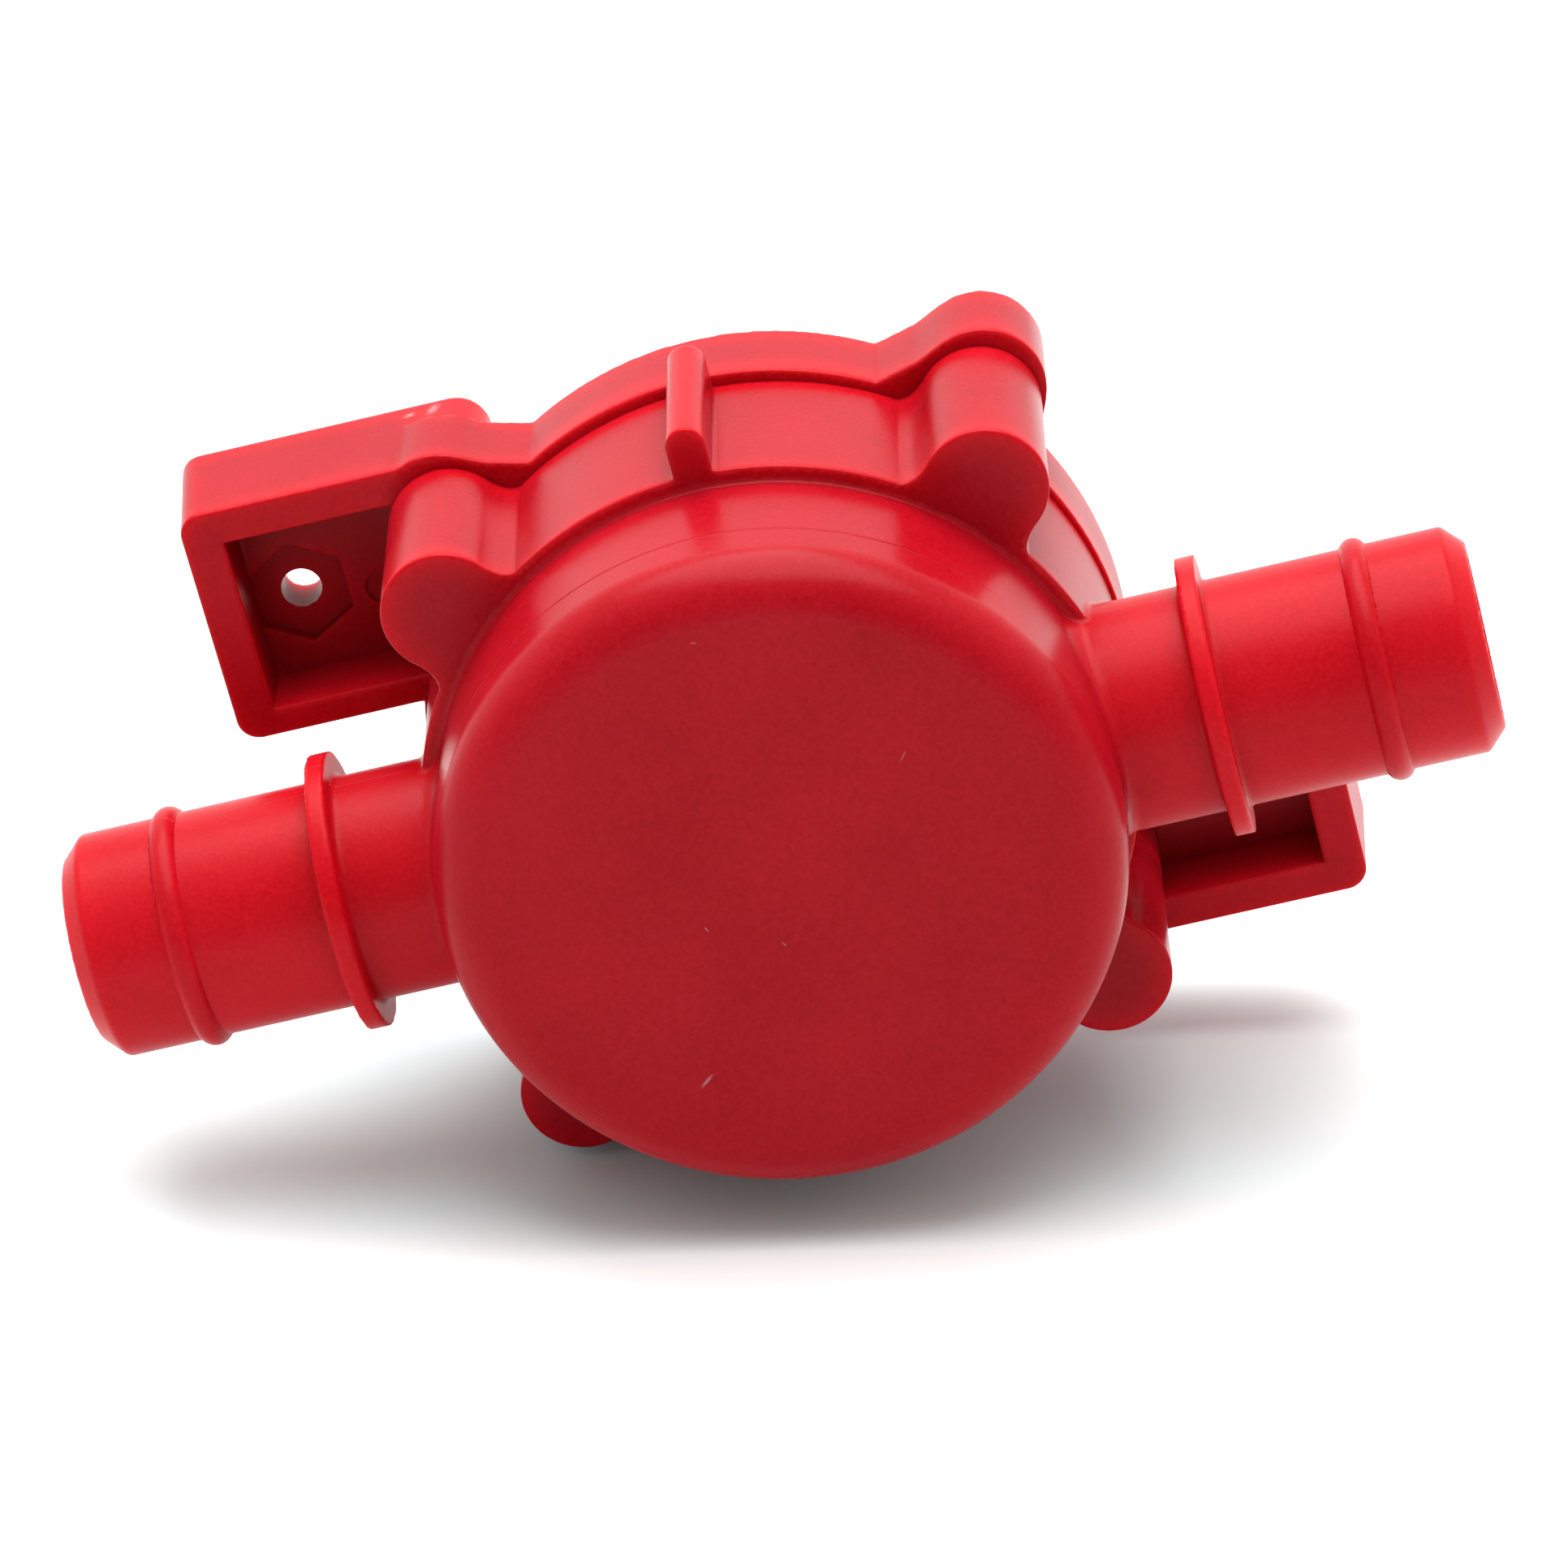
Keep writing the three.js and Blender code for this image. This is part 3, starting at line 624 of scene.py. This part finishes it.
def red_plastic():
    """Glossy moulded plastic with a painted glow where it is thin, and with moulding lines and
    handling marks.
    """
    material, tree, shader = new_material("red_moulded_plastic")
    place = add_node(tree, "ShaderNodeTexCoord").outputs["Object"]
    axes = add_node(tree, "ShaderNodeSeparateXYZ", {0: place})
    x, y, z = axes.outputs["X"], axes.outputs["Y"], axes.outputs["Z"]
    cloud = noise(tree, place, 70.0, 5.0)
    speck = noise(tree, place, 2600.0, 2.0)

    front = step_up(tree, y, -25.2 * MM, -25.4 * MM)
    marks = total(tree, [scratch(tree, x, z, *mark) for mark in FRONT_MARKS])
    marks = math_node(tree, "MULTIPLY", marks, front)
    foot_top = step_up(tree, z, 29.7 * MM, 29.9 * MM)
    scuffs = total(tree, [scratch(tree, x, y, *mark) for mark in FOOT_SCUFFS])
    scuffs = math_node(tree, "MULTIPLY", scuffs, foot_top)
    scuffs = math_node(tree, "MULTIPLY", scuffs, math_node(tree, "ADD", speck, speck))
    pale = math_node(tree, "MINIMUM", math_node(tree, "ADD", marks, scuffs), 1.0)

    beside = math_node(tree, "ABSOLUTE", x)
    above = math_node(tree, "ABSOLUTE", z)
    flat = add_node(tree, "ShaderNodeCombineXYZ", {"X": x, "Y": z}).outputs["Vector"]
    radius = add_node(tree, "ShaderNodeVectorMath", {0: flat}, operation="LENGTH").outputs["Value"]
    on_tail = step_up(tree, beside, 30.0 * MM, 32.0 * MM)
    parting = band(tree, y, (DEPTH / 2 - PORT_S) * MM, 0.14 * MM)
    parting = math_node(tree, "MULTIPLY", parting, on_tail)
    on_drum = step_up(tree, radius, 29.5 * MM, 29.7 * MM)
    off_tail = step_up(tree, above, 18.0 * MM, 22.0 * MM)
    witness = band(tree, y, (DEPTH / 2 - WITNESS_S) * MM, 0.20 * MM)
    witness = math_node(tree, "MULTIPLY", witness, on_drum)
    witness = math_node(tree, "MULTIPLY", witness, off_tail)

    mottle = map_range(tree, math_node(tree, "ADD", cloud, speck), (0.7, 1.3), (0.0, 1.0))
    tone = add_node(tree, "ShaderNodeMix", {"Factor": mottle}, data_type="RGBA")
    mix_colours(tone, RED_DARK, RED_LIGHT)
    # The base colour is multiplied by the painted glow of thin parts, which stands in for light
    # shining through them.
    inputs = {0: output_of(tone), 1: painted_thin_glow(tree)}
    lit = add_node(tree, "ShaderNodeVectorMath", inputs, operation="MULTIPLY")
    wear = math_node(tree, "MULTIPLY", pale, 0.7)
    worn = add_node(tree, "ShaderNodeMix", {"Factor": wear}, data_type="RGBA")
    mix_colours(worn, BLACK, RED_WORN)
    base = next(socket for socket in worn.inputs if socket.type == "RGBA")
    tree.links.new(lit.outputs["Vector"], base)
    tree.links.new(output_of(worn), shader.inputs["Base Color"])

    satin = map_range(tree, cloud, (0.0, 1.0), (0.22, 0.34))
    satin = math_node(tree, "MULTIPLY_ADD", front, 0.12, satin)
    satin = math_node(tree, "MULTIPLY_ADD", on_tail, 0.06, satin)
    tree.links.new(math_node(tree, "MULTIPLY_ADD", pale, 0.2, satin), shader.inputs["Roughness"])

    lines = total(tree, [parting, witness, witness])
    height = math_node(tree, "MULTIPLY_ADD", speck, 0.3, lines)
    height = math_node(tree, "MULTIPLY_ADD", marks, -0.8, height)
    height = math_node(tree, "MULTIPLY_ADD", cloud, 0.6, height)
    bump = add_node(tree, "ShaderNodeBump", {"Height": height, "Strength": 1.0, "Distance": 0.04 * MM})
    tree.links.new(bump.outputs["Normal"], shader.inputs["Normal"])
    shader.inputs["Subsurface Weight"].default_value = 0.3
    shader.inputs["Subsurface Radius"].default_value = (1.0, 0.1, 0.12)
    shader.inputs["Subsurface Scale"].default_value = 3.0 * MM
    shader.inputs["Specular IOR Level"].default_value = 0.08
    return material


def plain_material(name, low, high, rough, metallic, scale):
    """Two close tones of one colour, with a little unevenness in gloss."""
    material, tree, shader = new_material(name)
    place = add_node(tree, "ShaderNodeTexCoord").outputs["Object"]
    cloud = noise(tree, place, scale, 5.0)
    tone = add_node(tree, "ShaderNodeMix", {"Factor": cloud}, data_type="RGBA")
    mix_colours(tone, linear(*low), linear(*high))
    bump = add_node(tree, "ShaderNodeBump", {"Height": cloud, "Strength": 0.15, "Distance": 0.1 * MM})
    tree.links.new(output_of(tone), shader.inputs["Base Color"])
    tree.links.new(map_range(tree, cloud, (0.0, 1.0), rough), shader.inputs["Roughness"])
    tree.links.new(bump.outputs["Normal"], shader.inputs["Normal"])
    shader.inputs["Metallic"].default_value = metallic
    return material


RED = red_plastic()
RUBBER = plain_material("black_rubber", (20, 20, 22), (34, 34, 36), (0.65, 0.8), 0.0, 900.0)
GREY = plain_material("grey_plastic", (138, 141, 143), (150, 153, 155), (0.4, 0.52), 0.0, 500.0)
STEEL = plain_material("stainless_steel", (176, 178, 180), (196, 198, 200), (0.24, 0.4), 1.0, 1200.0)

RUBBER_NODES = ("cover_o_ring", "seat_plate_seal", "flap_seal")


def material_of(name):
    if name in ("valve_body", "rear_cover"):
        return RED
    if name in RUBBER_NODES:
        return RUBBER
    return GREY if name == "seat_plate" else STEEL


def dress(piece, material):
    piece.data.materials.clear()
    piece.data.materials.append(material)


for moulded in (body, cover):
    dress(moulded, RED)
for name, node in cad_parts.items():
    dress(node, material_of(name))


# ---- Floor, light and camera ----
# The valve lies on the round end of its lower rib and on its lower left ear, rolled about Y.

ROLL = math.radians(11.74)
FLOOR_DROP = 35.0 * MM
to_world = Matrix.Rotation(ROLL, 4, "Y")


def pale_floor():
    """White floor with painted shade colour: a cyan patch near the object cancels the red light that
    the object bounces into its shadow.
    """
    material, tree, shader = new_material("pale_floor")
    place = add_node(tree, "ShaderNodeTexCoord").outputs["Object"]
    depth = add_node(tree, "ShaderNodeSeparateXYZ", {0: place}).outputs["Y"]
    scale, centre_x, centre_y = 8.0, -12.0 * MM, -6.0 * MM
    inputs = {0: place, 1: (scale, scale, 0.0), 2: (-scale * centre_x, -scale * centre_y, 0.0)}
    away = add_node(tree, "ShaderNodeVectorMath", inputs, operation="MULTIPLY_ADD").outputs["Vector"]
    away = add_node(tree, "ShaderNodeVectorMath", {0: away}, operation="LENGTH").outputs["Value"]
    # Painted shade colour: the floor is less red near the object, fading out towards the front, to
    # cancel the object's red bounce light in the shadow.
    near = step_up(tree, away, 0.57, 0.12)
    near = math_node(tree, "MULTIPLY", near, step_up(tree, depth, -28.0 * MM, -15.0 * MM))
    painted_shadow_tint = add_node(tree, "ShaderNodeMix", {"Factor": near}, data_type="RGBA")
    mix_colours(painted_shadow_tint, (0.78, 0.78, 0.78, 1), (0.60, 0.78, 0.78, 1))
    tree.links.new(output_of(painted_shadow_tint), shader.inputs["Base Color"])
    shader.inputs["Roughness"].default_value = 0.9
    shader.inputs["Specular IOR Level"].default_value = 0.1
    return material


FLOOR_HALF = 12.0
floor_mesh = bpy.data.meshes.new("floor")
corners = [(-1, -1), (1, -1), (1, 1), (-1, 1)]
corners = [Vector((FLOOR_HALF * x, FLOOR_HALF * y, -FLOOR_DROP)) for x, y in corners]
floor_mesh.from_pydata([to_world @ corner for corner in corners], [], [(0, 1, 2, 3)])
floor_mesh.materials.append(pale_floor())
floor = bpy.data.objects.new("floor", floor_mesh)
bpy.context.scene.collection.objects.link(floor)


def studio_sky():
    """Pale sky, brighter above and behind the object."""
    world = bpy.data.worlds.new("studio")
    world.use_nodes = True
    tree = world.node_tree
    direction = add_node(tree, "ShaderNodeTexCoord").outputs["Generated"]
    inputs = {0: direction, 1: (0.1, 0.85, 0.5)}
    toward = add_node(tree, "ShaderNodeVectorMath", inputs, operation="DOT_PRODUCT").outputs["Value"]
    strength = map_range(tree, toward, (-0.35, 0.45), (0.5, 1.46), interpolation_type="SMOOTHSTEP")
    background = tree.nodes["Background"]
    background.inputs["Color"].default_value = (1, 1, 1, 1)
    tree.links.new(strength, background.inputs["Strength"])
    return world


bpy.context.scene.world = studio_sky()


def softbox(name, place, aim, size, power):
    """Rectangular light at a place over the tilted floor, aimed at a point."""
    light = bpy.data.lights.new(name, "AREA")
    light.shape = "RECTANGLE"
    light.size, light.size_y = size
    light.energy = power
    obj = bpy.data.objects.new(name, light)
    bpy.context.scene.collection.objects.link(obj)
    where = to_world @ Vector(place)
    obj.location = where
    obj.rotation_mode = "QUATERNION"
    obj.rotation_quaternion = (to_world @ Vector(aim) - where).to_track_quat("-Z", "Y")


softbox("overhead", place=(0.0, 0.10, 0.75), aim=(0.0, 0.0, 0.0), size=(0.9, 0.7), power=11.3)

CAMERA_SIDE = math.radians(6.176)
CAMERA_RISE = math.radians(24.49)
CAMERA_ROLL = math.radians(15.27)
CAMERA_DISTANCE = 0.7049
CAMERA_SHIFT = Vector((0.31, 0.81)) * MM
PORT_CENTRE = Vector((0.0, DEPTH / 2 - PORT_S, 0.0)) * MM

back = Vector((
    math.sin(CAMERA_SIDE) * math.cos(CAMERA_RISE),
    -math.cos(CAMERA_SIDE) * math.cos(CAMERA_RISE),
    math.sin(CAMERA_RISE),
))
camera_data = bpy.data.cameras.new("camera")
camera_data.sensor_width = 36.0
camera_data.lens = 185.47
camera_data.clip_start, camera_data.clip_end = 0.05, 20.0
camera = bpy.data.objects.new("camera", camera_data)
bpy.context.scene.collection.objects.link(camera)
camera.rotation_mode = "QUATERNION"
level = back.to_track_quat("Z", "Y")
turned = level @ Matrix.Rotation(-CAMERA_ROLL, 3, "Z").to_quaternion()
camera.rotation_quaternion = turned
right, up = turned @ Vector((1, 0, 0)), turned @ Vector((0, 1, 0))
camera.location = PORT_CENTRE + right * CAMERA_SHIFT.x + up * CAMERA_SHIFT.y + back * CAMERA_DISTANCE
bpy.context.scene.camera = camera
bpy.context.scene.view_settings.view_transform = "Standard"
